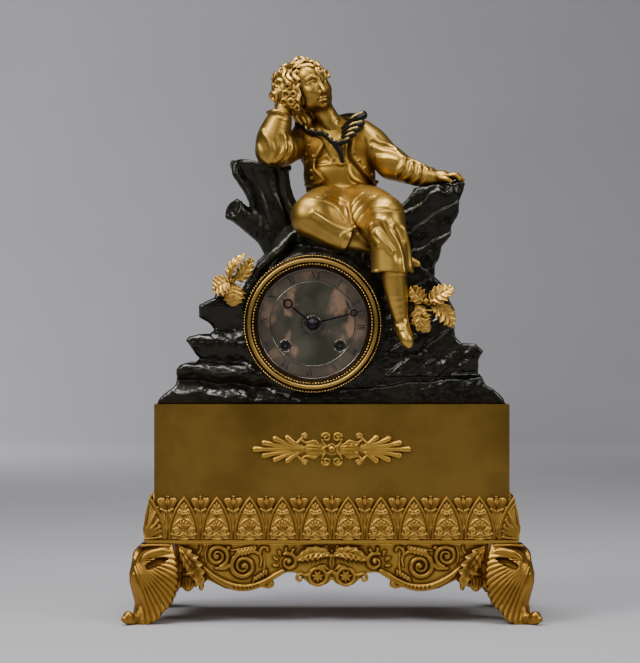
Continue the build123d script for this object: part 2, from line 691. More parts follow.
with BuildPart() as front_arches:
    add_arches(Plane.XZ.offset(HALF_DEPTH), FRONT_ARCHES)
    with BuildSketch(Plane.YZ) as front_profile:
        frieze_profile(HALF_DEPTH, -1, FRIEZE_PROJECTION)
    extrude(front_profile.sketch, amount=HALF_LENGTH, both=True, mode=Mode.INTERSECT)

with BuildPart() as frieze_front:
    with BuildSketch(Plane.YZ):
        frieze_profile(HALF_DEPTH, -1, FRIEZE_PROJECTION - ARCH_RELIEF)
    extrude(amount=HALF_LENGTH + FRIEZE_PROJECTION, both=True)
    split(bisect_by=RIGHT_MITRE, keep=Keep.BOTTOM)
    split(bisect_by=LEFT_MITRE, keep=Keep.BOTTOM)
    add(front_arches.part)
save(frieze_front, "frieze_front")


def make_side_frieze(label, outward, mitre):
    face = Plane(origin=(outward * HALF_LENGTH, 0, 0), x_dir=(0, outward, 0), z_dir=(outward, 0, 0))
    with BuildPart() as arches:
        add_arches(face, SIDE_ARCHES)
        with BuildSketch(Plane.XZ) as profile:
            frieze_profile(HALF_LENGTH, outward, FRIEZE_PROJECTION)
        extrude(profile.sketch, amount=HALF_DEPTH, both=True, mode=Mode.INTERSECT)
    with BuildPart() as frieze:
        with BuildSketch(Plane.XZ.offset(-HALF_DEPTH)):
            frieze_profile(HALF_LENGTH, outward, FRIEZE_PROJECTION - ARCH_RELIEF)
        extrude(amount=PLINTH_DEPTH + FRIEZE_PROJECTION)
        split(bisect_by=mitre, keep=Keep.TOP)
        add(arches.part)
    save(frieze, label)


make_side_frieze("frieze_left", -1, LEFT_MITRE)
make_side_frieze("frieze_right", 1, RIGHT_MITRE)

# Plinth plates: front and back run full length, the sides stand between them, the top lies inside
INNER_HALF_LENGTH = HALF_LENGTH - PLINTH_WALL
INNER_HALF_DEPTH = HALF_DEPTH - PLINTH_WALL


def make_plate(label, low, high):
    with BuildPart() as plate:
        block(low, high)
    save(plate, label)


make_plate(
    "plinth_front",
    (-HALF_LENGTH, -HALF_DEPTH, BASE_TOP),
    (HALF_LENGTH, -INNER_HALF_DEPTH, PLINTH_TOP),
)
make_plate(
    "plinth_back",
    (-HALF_LENGTH, INNER_HALF_DEPTH, BASE_TOP),
    (HALF_LENGTH, HALF_DEPTH, PLINTH_TOP),
)
make_plate(
    "plinth_left",
    (-HALF_LENGTH, -INNER_HALF_DEPTH, BASE_TOP),
    (-INNER_HALF_LENGTH, INNER_HALF_DEPTH, PLINTH_TOP),
)
make_plate(
    "plinth_right",
    (INNER_HALF_LENGTH, -INNER_HALF_DEPTH, BASE_TOP),
    (HALF_LENGTH, INNER_HALF_DEPTH, PLINTH_TOP),
)

# The slot through the plinth top and the rock in which the pendulum hangs
SWING_REACH = PENDULUM_LENGTH * math.sin(math.radians(PENDULUM_SWING))
SLOT_HALF_LENGTH = SWING_REACH + BOB_RADIUS + PENDULUM_SLOT_MARGIN
SLOT_HALF_DEPTH = BOB_HALF_THICKNESS + PENDULUM_SLOT_MARGIN
PENDULUM_DEPTH = BACK_PLATE_BACK + PENDULUM_LEVEL

with BuildPart() as plinth_top:
    with BuildSketch(Plane.XY.offset(PLINTH_TOP)):
        Rectangle(2 * INNER_HALF_LENGTH, 2 * INNER_HALF_DEPTH)
        with Locations((DIAL_PLACE, PENDULUM_DEPTH)):
            Rectangle(2 * SLOT_HALF_LENGTH, 2 * SLOT_HALF_DEPTH, mode=Mode.SUBTRACT)
        with Locations(*STUD_PLACES):
            Circle(ROCK_STUD_RADIUS + RUNNING_GAP, mode=Mode.SUBTRACT)
    extrude(amount=-PLINTH_WALL)
save(plinth_top, "plinth_top")

# Palmette mount: two fans of lobes on a stem, four volutes and a boss
with BuildPart() as palmette_mount:
    with BuildSketch(Plane.XZ.offset(HALF_DEPTH)):
        with Locations((0, BASE_TOP + MOUNT_RISE)):
            Rectangle(MOUNT_LENGTH * MOUNT_STEM_SHARES[0], MOUNT_HEIGHT * MOUNT_STEM_SHARES[1])
        for sign in (-1, 1):
            root = (sign * MOUNT_LENGTH * MOUNT_ROOT_SHARE, BASE_TOP + MOUNT_RISE)
            for angle, reach in zip(MOUNT_LOBE_ANGLES, MOUNT_LOBE_REACH_SHARES):
                for turn in sorted({-angle, angle}):
                    half_reach = MOUNT_LENGTH * reach / 2
                    bearing = turn if sign > 0 else 180 - turn
                    with Locations(Location(polar(root, half_reach, bearing), bearing)):
                        Ellipse(half_reach, MOUNT_HEIGHT * MOUNT_LOBE_WIDTH_SHARE)
            for along, aside in MOUNT_VOLUTE_SHARES:
                with Locations(
                    (sign * MOUNT_LENGTH * along, BASE_TOP + MOUNT_RISE + MOUNT_HEIGHT * aside),
                    (sign * MOUNT_LENGTH * along, BASE_TOP + MOUNT_RISE - MOUNT_HEIGHT * aside),
                ):
                    Circle(MOUNT_HEIGHT * MOUNT_VOLUTE_RADIUS_SHARE)
    extrude(amount=MOUNT_THICKNESS)
    with BuildSketch(Plane.XZ.offset(HALF_DEPTH + MOUNT_THICKNESS)):
        with Locations((0, BASE_TOP + MOUNT_RISE)):
            Circle(MOUNT_BOSS_RADIUS)
    extrude(amount=MOUNT_BOSS_HEIGHT)
save(palmette_mount, "palmette_mount")


# Rock: the front outline run through the depth and cut to the side outline
def rough_rock(front, side, length, depth, height, middle, foot):
    """Adds the body that shows one outline from the front and another from the side."""
    with BuildSketch(Plane.XZ.offset(depth / 2 - middle[1])) as front_view:
        face_outline([(middle[0] + length * x, foot + height * z) for x, z in front])
    extrude(front_view.sketch, amount=-depth)
    with BuildSketch(Plane.YZ.offset(middle[0])) as side_view:
        face_outline([(middle[1] + depth * y, foot + height * z) for y, z in side])
    extrude(side_view.sketch, amount=length, both=True, mode=Mode.INTERSECT)


def cut_ledge(levels, end):
    """Cuts a groove into the rock face, from the left end to a place beside the dial."""
    upper, groove, lower = [PLINTH_TOP + ROCK_HEIGHT * share for share in levels]
    face = -ROCK_DEPTH / 2
    with BuildSketch(Plane.YZ.offset(ROCK_LENGTH * end)) as profile:
        face_outline([(face, upper), (face + LEDGE_DEPTH, groove), (face, lower)])
    extrude(profile.sketch, amount=-ROCK_LENGTH, mode=Mode.SUBTRACT)


def cut_stratum(foot, head):
    """Cuts a slanting groove into the rock face, between two places given along and up the rock."""
    start = Vector(ROCK_LENGTH * foot[0], -ROCK_DEPTH / 2, PLINTH_TOP + ROCK_HEIGHT * foot[1])
    finish = Vector(ROCK_LENGTH * head[0], -ROCK_DEPTH / 2, PLINTH_TOP + ROCK_HEIGHT * head[1])
    with BuildSketch(Plane(origin=start, x_dir=(0, 1, 0), z_dir=finish - start)) as profile:
        face_outline([(0, -STRATA_WIDTH / 2), (STRATA_DEPTH, 0), (0, STRATA_WIDTH / 2)])
    extrude(profile.sketch, amount=(finish - start).length, mode=Mode.SUBTRACT)


def movement_plane(depth):
    """The plane across the movement at a depth, facing the viewer, centred on the dial."""
    return Plane(origin=(DIAL_PLACE, depth, DIAL_LEVEL), x_dir=(1, 0, 0), z_dir=(0, -1, 0))


def disc(place, front, back, radius, mode=Mode.ADD):
    """Adds a round of the movement between two depths."""
    with BuildSketch(movement_plane(back)) as outline:
        with Locations(place):
            Circle(radius)
    extrude(outline.sketch, amount=back - front, mode=mode)


REAR_SEAT_DEPTH = ROCK_DEPTH / 2 - REAR_SEAT_INSET
SLOT_LOW = (DIAL_PLACE - SLOT_HALF_LENGTH, PENDULUM_DEPTH - SLOT_HALF_DEPTH, PLINTH_TOP - OVERRUN)
SLOT_HIGH = (DIAL_PLACE + SLOT_HALF_LENGTH, PENDULUM_DEPTH + SLOT_HALF_DEPTH, DIAL_LEVEL)

with BuildPart() as rock_base:
    rough_rock(ROCK_FRONT_SHARES, ROCK_SIDE_SHARES, ROCK_LENGTH, ROCK_DEPTH, ROCK_HEIGHT, CENTRE, PLINTH_TOP)
    for levels, end in zip(LEDGE_LEVEL_SHARES, LEDGE_END_SHARES):
        cut_ledge(levels, end)
    for foot, head in STRATA_SHARES:
        cut_stratum(foot, head)
    disc(CENTRE, -ROCK_DEPTH, ROCK_DEPTH, MOVEMENT_BORE_RADIUS, mode=Mode.SUBTRACT)
    disc(CENTRE, -ROCK_DEPTH, BEZEL_SEAT_DEPTH, BEZEL_RADIUS + SEAT_GAP, mode=Mode.SUBTRACT)
    rear_recess = REAR_RING_RADIUS + KNUCKLE_RADIUS + SEAT_GAP
    disc(CENTRE, REAR_SEAT_DEPTH, ROCK_DEPTH, rear_recess, mode=Mode.SUBTRACT)
    block(SLOT_LOW, SLOT_HIGH, mode=Mode.SUBTRACT)
    for place in POCKET_PLACES:
        block(
            (place - POCKET_LENGTH / 2, -POCKET_DEPTH / 2, PLINTH_TOP - OVERRUN),
            (place + POCKET_LENGTH / 2, POCKET_DEPTH / 2, PLINTH_TOP + POCKET_HEIGHT),
            mode=Mode.SUBTRACT,
        )
    with BuildSketch(Plane.XY.offset(PLINTH_TOP)):
        with Locations(*STUD_PLACES):
            Circle(ROCK_STUD_RADIUS)
    extrude(amount=ROCK_STUD_BITE, mode=Mode.SUBTRACT)
save(rock_base, "rock_base")

# Seat of the figure, which the stump and the pillar are placed from
SEAT = Vector(SEAT_PLACE[0], SEAT_PLACE[1], ROCK_TOP + SEAT_RISE)


def body_point(shares):
    return SEAT + Vector(*shares) * FIGURE_HEIGHT


# Tree stump with its sawn branch, cut to the rock that it grows from
STUMP_FOOT = body_point(STUMP_FOOT_SHARES)
STUMP_RADIUS = FIGURE_HEIGHT * STUMP_RADIUS_SHARE
STUMP_FOOT_LEVEL = ROCK_TOP - STUMP_SINK
STUMP_HEIGHT = SEAT.Z + FIGURE_HEIGHT * STUMP_TOP_SHARE - STUMP_FOOT_LEVEL

with BuildPart() as tree_stump:
    for level, lean, width in STUMP_SECTION_SHARES:
        with BuildSketch(Plane.XY.offset(STUMP_FOOT_LEVEL + STUMP_HEIGHT * level)):
            with Locations((STUMP_FOOT.X + STUMP_RADIUS * lean, STUMP_FOOT.Y)):
                Ellipse(STUMP_RADIUS * width, STUMP_RADIUS * width * STUMP_DEPTH_SHARE)
    loft()
    branch_start = Vector(
        STUMP_FOOT.X + STUMP_RADIUS * BRANCH_START_SHARES[0],
        STUMP_FOOT.Y,
        STUMP_FOOT_LEVEL + STUMP_HEIGHT * BRANCH_START_SHARES[1],
    )
    branch_end = Vector(
        STUMP_FOOT.X + STUMP_RADIUS * BRANCH_END_SHARES[0],
        STUMP_FOOT.Y,
        STUMP_FOOT_LEVEL + STUMP_HEIGHT * BRANCH_END_SHARES[1],
    )
    branch = branch_end - branch_start
    with Locations(Plane(origin=branch_start, z_dir=branch)):
        Cone(BRANCH_BASE_RADIUS, BRANCH_END_RADIUS, branch.length, align=FROM_BASE)
    add(rock_base.part, mode=Mode.SUBTRACT)
save(tree_stump, "tree_stump")

PILLAR_MIDDLE = body_point(PILLAR_MIDDLE_SHARES)
PILLAR_FOOT = SEAT.Z - FIGURE_HEIGHT * PILLAR_FOOT_SHARE

with BuildPart() as rock_pillar:
    rough_rock(
        PILLAR_FRONT_SHARES,
        PILLAR_SIDE_SHARES,
        FIGURE_HEIGHT * PILLAR_LENGTH_SHARE,
        FIGURE_HEIGHT * PILLAR_DEPTH_SHARE,
        SEAT.Z + FIGURE_HEIGHT * PILLAR_TOP_SHARE - PILLAR_FOOT,
        (PILLAR_MIDDLE.X, PILLAR_MIDDLE.Y),
        PILLAR_FOOT,
    )
    add(rock_base.part, mode=Mode.SUBTRACT)
save(rock_pillar, "rock_pillar")


# Leaf sprays: pointed leaves around a bud, seated on the sloping face of the rock
FACE_FOOT, FACE_HEAD = [
    Vector(0, ROCK_DEPTH * y, PLINTH_TOP + ROCK_HEIGHT * z) for y, z in ROCK_SIDE_SHARES[1:3]
]
ROCK_FACE = Plane(
    origin=FACE_FOOT, x_dir=(1, 0, 0), z_dir=Vector(1, 0, 0).cross(FACE_HEAD - FACE_FOOT)
)


def make_spray(label, place, rise, bearings, shares):
    stem = (place, PLINTH_TOP + rise - FACE_FOOT.Z)
    with BuildPart() as spray:
        with BuildSketch(ROCK_FACE):
            for bearing, share in zip(bearings, shares):
                length = LEAF_LENGTH * share
                tip = polar(stem, length, bearing)
                middle = polar(stem, length / 2, bearing)
                with BuildLine():
                    ThreePointArc(stem, polar(middle, length * LEAF_WIDTH_SHARE / 2, bearing + 90), tip)
                    ThreePointArc(tip, polar(middle, length * LEAF_WIDTH_SHARE / 2, bearing - 90), stem)
                make_face()
            with Locations(stem):
                Circle(LEAF_LENGTH * LEAF_DISC_SHARE)
        extrude(amount=LEAF_THICKNESS)
        with Locations(ROCK_FACE):
            with Locations((stem[0], stem[1], LEAF_THICKNESS)):
                Sphere(LEAF_LENGTH * LEAF_BUD_SHARE)
    save(spray, label)


make_spray(
    "leaf_spray_left",
    LEFT_SPRAY_PLACE,
    LEFT_SPRAY_RISE,
    LEFT_SPRAY_BEARINGS,
    LEFT_SPRAY_SHARES,
)
make_spray(
    "leaf_spray_right",
    RIGHT_SPRAY_PLACE,
    RIGHT_SPRAY_RISE,
    RIGHT_SPRAY_BEARINGS,
    RIGHT_SPRAY_SHARES,
)

# Figure: the trunk is lofted, limbs are cones with a ball at each joint.
# Later pieces are cut to earlier ones.
def trunk(sections):
    """Adds a loft through level ovals of the body."""
    ovals = []
    for shares, half_width, half_depth in sections:
        with BuildSketch(Plane(origin=body_point(shares))) as oval:
            Ellipse(FIGURE_HEIGHT * half_width, FIGURE_HEIGHT * half_depth)
        ovals.append(oval.sketch)
    loft(ovals)


def limb(places, radii):
    """Adds a tapering limb: a cone along each bone and a slightly fuller ball at each joint."""
    points = [body_point(place) for place in places]
    sizes = [FIGURE_HEIGHT * radius for radius in radii]
    for start, end, start_radius, end_radius in zip(points, points[1:], sizes, sizes[1:]):
        bone = end - start
        with Locations(Plane(origin=start, z_dir=bone)):
            Cone(start_radius, end_radius, bone.length, align=FROM_BASE)
    for point, size in zip(points, sizes):
        with Locations(point):
            Sphere(size * JOINT_SWELL_SHARE)


def egg(shares, axis, size_shares):
    """Adds an egg turned about its own axis: half length along it and radius across it."""
    half, radius = [FIGURE_HEIGHT * size for size in size_shares]
    across = Vector(*axis).cross(Vector(0, 1, 0))
    section = Plane(origin=body_point(shares), x_dir=across, z_dir=across.cross(Vector(*axis)))
    with BuildSketch(section) as half_egg:
        Ellipse(radius, half)
        with Locations((-radius, 0)):
            Rectangle(2 * radius, 2 * half, mode=Mode.SUBTRACT)
    revolve(half_egg.sketch, axis=Axis(body_point(shares), Vector(*axis)))


with BuildPart() as figure_hips:
    trunk(HIP_SECTION_SHARES)
    add(rock_base.part, mode=Mode.SUBTRACT)
    add(tree_stump.part, mode=Mode.SUBTRACT)
save(figure_hips, "figure_hips")

with BuildPart() as figure_torso:
    trunk(TORSO_SECTION_SHARES)
    add(tree_stump.part, mode=Mode.SUBTRACT)
save(figure_torso, "figure_torso")

with BuildPart() as figure_head:
    limb(NECK_SHARES, NECK_RADIUS_SHARES)
    egg(SKULL_SHARES, SKULL_AXIS_SHARES, SKULL_SIZE_SHARES)
    egg(HAIR_SHARES, SKULL_AXIS_SHARES, HAIR_SIZE_SHARES)
    add(figure_torso.part, mode=Mode.SUBTRACT)
save(figure_head, "figure_head")

with BuildPart() as figure_collar:
    collar_radius, collar_roll = [FIGURE_HEIGHT * size for size in COLLAR_SIZE_SHARES]
    with Locations(Plane(origin=body_point(COLLAR_SHARES), z_dir=COLLAR_AXIS_SHARES)):
        Torus(collar_radius, collar_roll)
    add(figure_torso.part, mode=Mode.SUBTRACT)
    add(figure_head.part, mode=Mode.SUBTRACT)
save(figure_collar, "figure_collar")


def make_limb(label, limbs, cutters):
    with BuildPart() as piece:
        for places, radii in limbs:
            limb(places, radii)
        for cutter in cutters:
            add(cutter.part, mode=Mode.SUBTRACT)
    save(piece, label)
    return piece


TRUNK_PIECES = (figure_torso, figure_hips, figure_head, figure_collar)
make_limb(
    "figure_right_arm", [(RIGHT_ARM_SHARES, RIGHT_ARM_RADIUS_SHARES)], TRUNK_PIECES + (tree_stump,)
)
make_limb(
    "figure_left_arm", [(LEFT_ARM_SHARES, LEFT_ARM_RADIUS_SHARES)], TRUNK_PIECES + (rock_pillar,)
)
figure_left_leg = make_limb(
    "figure_left_leg",
    [(LEFT_LEG_SHARES, LEFT_LEG_RADIUS_SHARES), (LEFT_CALF_SHARES, LEFT_CALF_RADIUS_SHARES)],
    TRUNK_PIECES + (rock_base, rock_pillar),
)
make_limb(
    "figure_right_leg",
    [(RIGHT_LEG_SHARES, RIGHT_LEG_RADIUS_SHARES)],
    TRUNK_PIECES + (figure_left_leg, rock_base, rock_pillar, tree_stump),
)


# Bezel, and the dial with the feet that hold it to the front plate
def turned(points):
    """Adds a body turned about the dial axis from an outline of (radius, depth) points."""
    with BuildSketch(Plane(origin=(DIAL_PLACE, 0, DIAL_LEVEL), x_dir=(1, 0, 0), z_dir=(0, 0, 1))) as outline:
        face_outline(points)
    revolve(outline.sketch, axis=Axis((DIAL_PLACE, 0, DIAL_LEVEL), (0, 1, 0)))


with BuildPart() as bezel:
    turned([(BEZEL_RADIUS * r, BEZEL_SEAT_DEPTH - BEZEL_HEIGHT * up) for r, up in BEZEL_PROFILE_SHARES])
save(bezel, "bezel")

with BuildPart() as dial:
    disc(CENTRE, DIAL_FRONT, DIAL_BACK, DIAL_RADIUS)
    disc(CENTRE, DIAL_FRONT, DIAL_BACK, DIAL_HOLE_RADIUS, mode=Mode.SUBTRACT)
    for place in (GOING_BARREL, STRIKE_BARREL):
        disc(place, DIAL_FRONT, DIAL_BACK, WINDING_HOLE_RADIUS, mode=Mode.SUBTRACT)
    for bearing in DIAL_FOOT_BEARINGS:
        disc(polar(CENTRE, DIAL_FOOT_CIRCLE, bearing), DIAL_BACK, FRONT_PLATE_FRONT, DIAL_FOOT_RADIUS)
save(dial, "dial")


# Hands: a tapering arm that carries a pierced moon
def hand_plane(depth, bearing):
    """The plane of a hand, with its local X along the hand."""
    angle = math.radians(bearing)
    return Plane(
        origin=(DIAL_PLACE, depth, DIAL_LEVEL), x_dir=(math.sin(angle), 0, math.cos(angle)), z_dir=(0, -1, 0)
    )


def hand(back, bearing, length, hub_radius, bore, moon_share, moon_radius):
    moon = length * moon_share
    with BuildSketch(hand_plane(back, bearing)) as outline:
        face_outline(
            [
                (0, HAND_ROOT_WIDTH / 2),
                (length, HAND_TIP_WIDTH / 2),
                (length, -HAND_TIP_WIDTH / 2),
                (0, -HAND_ROOT_WIDTH / 2),
            ]
        )
        with Locations((moon, 0)):
            Circle(moon_radius)
            Circle(moon_radius * MOON_HOLE_SHARE, mode=Mode.SUBTRACT)
        Circle(hub_radius)
        Circle(bore, mode=Mode.SUBTRACT)
    extrude(outline.sketch, amount=HAND_THICKNESS)


HOUR_PIPE_BORE = CANNON_RADIUS + RUNNING_GAP
HOUR_PIPE_RADIUS = HOUR_PIPE_BORE + HOUR_PIPE_WALL

with BuildPart() as hour_hand:
    hand(
        HOUR_HAND_BACK,
        HOUR_BEARING,
        HOUR_LENGTH,
        HOUR_HUB_RADIUS,
        HOUR_PIPE_RADIUS,
        HOUR_MOON_SHARE,
        HOUR_MOON_RADIUS,
    )
save(hour_hand, "hour_hand")

with BuildPart() as minute_hand:
    hand(
        MINUTE_HAND_BACK,
        MINUTE_BEARING,
        MINUTE_LENGTH,
        MINUTE_HUB_RADIUS,
        CANNON_RADIUS,
        MINUTE_MOON_SHARE,
        MINUTE_MOON_RADIUS,
    )
    disc(CENTRE, MINUTE_HAND_FRONT - HAND_NUT_HEIGHT, MINUTE_HAND_FRONT, HAND_NUT_RADIUS)
save(minute_hand, "minute_hand")

# Movement frame: plates with a hole for every arbor, and pillars
PIVOT_PLACES = (CENTRE, INTERMEDIATE, THIRD, ESCAPE, PIN_WHEEL, FLY)
WINDING_PLACES = (GOING_BARREL, STRIKE_BARREL)
LONG_ARBOR_PLACES = (ANCHOR, HAMMER)


def click_places(place):
    """The nose and the pivot of the click above a ratchet; the pivot lies away from the dial centre."""
    nose = polar(place, RATCHET_RADIUS + CLICK_CLEARANCE + CLICK_WIDTH, 90)
    return nose, (nose[0] + math.copysign(CLICK_LENGTH, place[0]), nose[1])


with BuildPart() as front_plate:
    disc(CENTRE, FRONT_PLATE_FRONT, FRONT_PLATE_BACK, PLATE_RADIUS)
    for place in PIVOT_PLACES[1:] + LONG_ARBOR_PLACES:
        disc(place, FRONT_PLATE_FRONT, FRONT_PLATE_BACK, PIVOT_RADIUS + RUNNING_GAP, mode=Mode.SUBTRACT)
    disc(CENTRE, FRONT_PLATE_FRONT, FRONT_PLATE_BACK, ARBOR_RADIUS + RUNNING_GAP, mode=Mode.SUBTRACT)
    for place in WINDING_PLACES:
        disc(place, FRONT_PLATE_FRONT, FRONT_PLATE_BACK, WINDING_RADIUS + RUNNING_GAP, mode=Mode.SUBTRACT)
        disc(
            click_places(place)[1],
            FRONT_PLATE_FRONT - RATCHET_LEVEL - RATCHET_THICKNESS,
            FRONT_PLATE_FRONT,
            CLICK_PIVOT_RADIUS,
        )
    disc(MINUTE_WHEEL, DIAL_BACK + 2 * END_SHAKE, FRONT_PLATE_FRONT, ARBOR_RADIUS)
save(front_plate, "front_plate")

with BuildPart() as back_plate:
    disc(CENTRE, BACK_PLATE_FRONT, BACK_PLATE_BACK, PLATE_RADIUS)
    for place in PIVOT_PLACES + WINDING_PLACES:
        disc(place, BACK_PLATE_FRONT, BACK_PLATE_BACK, PIVOT_RADIUS + RUNNING_GAP, mode=Mode.SUBTRACT)
    for place in LONG_ARBOR_PLACES:
        disc(place, BACK_PLATE_FRONT, BACK_PLATE_BACK, ARBOR_RADIUS + RUNNING_GAP, mode=Mode.SUBTRACT)
save(back_plate, "back_plate")

with BuildPart() as movement_pillars:
    for bearing in PILLAR_BEARINGS:
        disc(polar(CENTRE, PILLAR_CIRCLE, bearing), FRONT_PLATE_BACK, BACK_PLATE_FRONT, PILLAR_RADIUS)
save(movement_pillars, "movement_pillars")


# Wheels: clock teeth with straight flanks below the pitch circle and a narrowing tip above it
def toothed_disc(place, front, thickness, teeth, module, phase):
    """Adds a toothed wheel of the movement that starts at a depth and runs back."""
    radius = pitch_radius(teeth, module)
    root = radius - module * DEDENDUM_SHARE
    tip = radius + module * ADDENDUM_SHARE
    corners = (
        (root, -TOOTH_HALF_SHARE),
        (radius, -TOOTH_HALF_SHARE),
        (tip, -TIP_HALF_SHARE),
        (tip, TIP_HALF_SHARE),
        (radius, TOOTH_HALF_SHARE),
        (root, TOOTH_HALF_SHARE),
    )
    pitch = 360 / teeth
    points = [
        polar(place, reach, phase + pitch * (tooth + share))
        for tooth in range(teeth)
        for reach, share in corners
    ]
    with BuildSketch(movement_plane(front + thickness)) as outline:
        face_outline(points)
    extrude(outline.sketch, amount=thickness)


def saw_disc(place, front, thickness, teeth, radius, depth):
    """Adds a wheel of raked teeth, for a ratchet or an escape wheel."""
    pitch = 360 / teeth
    points = []
    for tooth in range(teeth):
        points.append(polar(place, radius, pitch * tooth))
        points.append(polar(place, radius - depth, pitch * tooth))
    with BuildSketch(movement_plane(front + thickness)) as outline:
        face_outline(points)
    extrude(outline.sketch, amount=thickness)


def arbor(place):
    """Adds an arbor between the plates with a pivot in each."""
    disc(place, FRONT_PLATE_BACK + END_SHAKE, BACK_PLATE_FRONT - END_SHAKE, ARBOR_RADIUS)
    disc(place, FRONT_PLATE_FRONT, FRONT_PLATE_BACK + END_SHAKE, PIVOT_RADIUS)
    disc(place, BACK_PLATE_FRONT - END_SHAKE, BACK_PLATE_BACK, PIVOT_RADIUS)


# Centre arbor: its wheel drives the third pinion, and its cannon carries the minute hand
with BuildPart() as centre_wheel:
    arbor(CENTRE)
    wheel_front = FRONT_PLATE_BACK + CENTRE_WHEEL_LEVEL
    toothed_disc(CENTRE, wheel_front, WHEEL_THICKNESS, CENTRE_TEETH, TRAIN_MODULE, CENTRE_PINION_PHASE)
    pinion_front = FRONT_PLATE_BACK + CENTRE_PINION_LEVEL
    toothed_disc(CENTRE, pinion_front, PINION_LENGTH, PINION_LEAVES, TRAIN_MODULE, CENTRE_PINION_PHASE)
    disc(CENTRE, FRONT_PLATE_FRONT - CANNON_LEVEL, FRONT_PLATE_BACK + END_SHAKE, ARBOR_RADIUS)
    disc(CENTRE, MINUTE_HAND_FRONT, FRONT_PLATE_FRONT - CANNON_LEVEL, CANNON_RADIUS)
    toothed_disc(
        CENTRE,
        FRONT_PLATE_FRONT - CANNON_LEVEL - PINION_LENGTH,
        PINION_LENGTH,
        CANNON_LEAVES,
        FINE_MODULE,
        CENTRE_PINION_PHASE,
    )
save(centre_wheel, "centre_wheel")

with BuildPart() as minute_wheel:
    front = FRONT_PLATE_FRONT - MINUTE_WHEEL_LEVEL - WHEEL_THICKNESS
    toothed_disc(MINUTE_WHEEL, front, WHEEL_THICKNESS, MINUTE_WHEEL_TEETH, FINE_MODULE, MINUTE_WHEEL_PHASE)
    toothed_disc(
        MINUTE_WHEEL,
        front - PINION_LENGTH,
        PINION_LENGTH,
        MINUTE_PINION_LEAVES,
        HOUR_MODULE,
        MINUTE_WHEEL_PHASE,
    )
    disc(MINUTE_WHEEL, DIAL_FRONT, FRONT_PLATE_FRONT, ARBOR_RADIUS + RUNNING_GAP, mode=Mode.SUBTRACT)
save(minute_wheel, "minute_wheel")

with BuildPart() as hour_wheel:
    front = FRONT_PLATE_FRONT - HOUR_WHEEL_LEVEL - WHEEL_THICKNESS
    toothed_disc(CENTRE, front, WHEEL_THICKNESS, HOUR_WHEEL_TEETH, HOUR_MODULE, HOUR_WHEEL_PHASE)
    disc(CENTRE, HOUR_HAND_BACK - HAND_THICKNESS, front, HOUR_PIPE_RADIUS)
    disc(CENTRE, HOUR_HAND_BACK - HAND_THICKNESS, FRONT_PLATE_FRONT, HOUR_PIPE_BORE, mode=Mode.SUBTRACT)
save(hour_wheel, "hour_wheel")


# Going and strike barrels, each loose on a winding arbor with a ratchet under the dial
def make_barrel(label, place, phase):
    with BuildPart() as barrel:
        disc(place, FRONT_PLATE_BACK + DRUM_LEVEL, FRONT_PLATE_BACK + GREAT_WHEEL_LEVEL, DRUM_RADIUS)
        toothed_disc(
            place, FRONT_PLATE_BACK + GREAT_WHEEL_LEVEL, WHEEL_THICKNESS, BARREL_TEETH, TRAIN_MODULE, phase
        )
        disc(place, FRONT_PLATE_BACK, BACK_PLATE_FRONT, WINDING_RADIUS + RUNNING_GAP, mode=Mode.SUBTRACT)
    save(barrel, label)


def make_winding(label, place):
    with BuildPart() as winding:
        disc(place, FRONT_PLATE_FRONT - RATCHET_LEVEL, BACK_PLATE_FRONT - END_SHAKE, WINDING_RADIUS)
        disc(place, BACK_PLATE_FRONT - END_SHAKE, BACK_PLATE_BACK, PIVOT_RADIUS)
        ratchet_front = FRONT_PLATE_FRONT - RATCHET_LEVEL - RATCHET_THICKNESS
        saw_disc(place, ratchet_front, RATCHET_THICKNESS, RATCHET_TEETH, RATCHET_RADIUS, RATCHET_DEPTH)
        with BuildSketch(movement_plane(ratchet_front)):
            with Locations(place):
                Rectangle(WINDING_SQUARE, WINDING_SQUARE)
        extrude(amount=ratchet_front - DIAL_BACK + DIAL_THICKNESS / 2)
    save(winding, label)


def make_click(label, place):
    nose, pivot = click_places(place)
    front = FRONT_PLATE_FRONT - RATCHET_LEVEL - RATCHET_THICKNESS
    with BuildPart() as click:
        with BuildSketch(movement_plane(front + RATCHET_THICKNESS)):
            face_outline(
                [
                    (nose[0], nose[1] - CLICK_WIDTH),
                    (pivot[0], pivot[1] - CLICK_WIDTH / 2),
                    (pivot[0], pivot[1] + CLICK_WIDTH / 2),
                    (nose[0], nose[1]),
                ]
            )
            with Locations(pivot):
                Circle(CLICK_WIDTH)
                Circle(CLICK_PIVOT_RADIUS + RUNNING_GAP, mode=Mode.SUBTRACT)
        extrude(amount=RATCHET_THICKNESS)
    save(click, label)


make_barrel("going_barrel", GOING_BARREL, GOING_BARREL_PHASE)
make_barrel("strike_barrel", STRIKE_BARREL, STRIKE_BARREL_PHASE)
make_winding("going_winding", GOING_BARREL)
make_winding("strike_winding", STRIKE_BARREL)
make_click("going_click", GOING_BARREL)
make_click("strike_click", STRIKE_BARREL)


# Going train from the barrel to the escape wheel
def make_train_wheel(label, place, pinion, wheel):
    """Writes an arbor with a pinion and a wheel, each given as level, length, teeth, module and phase."""
    with BuildPart() as arbor_with_wheel:
        arbor(place)
        for level, length, teeth, module, phase in (pinion, wheel):
            toothed_disc(place, FRONT_PLATE_BACK + level, length, teeth, module, phase)
    save(arbor_with_wheel, label)


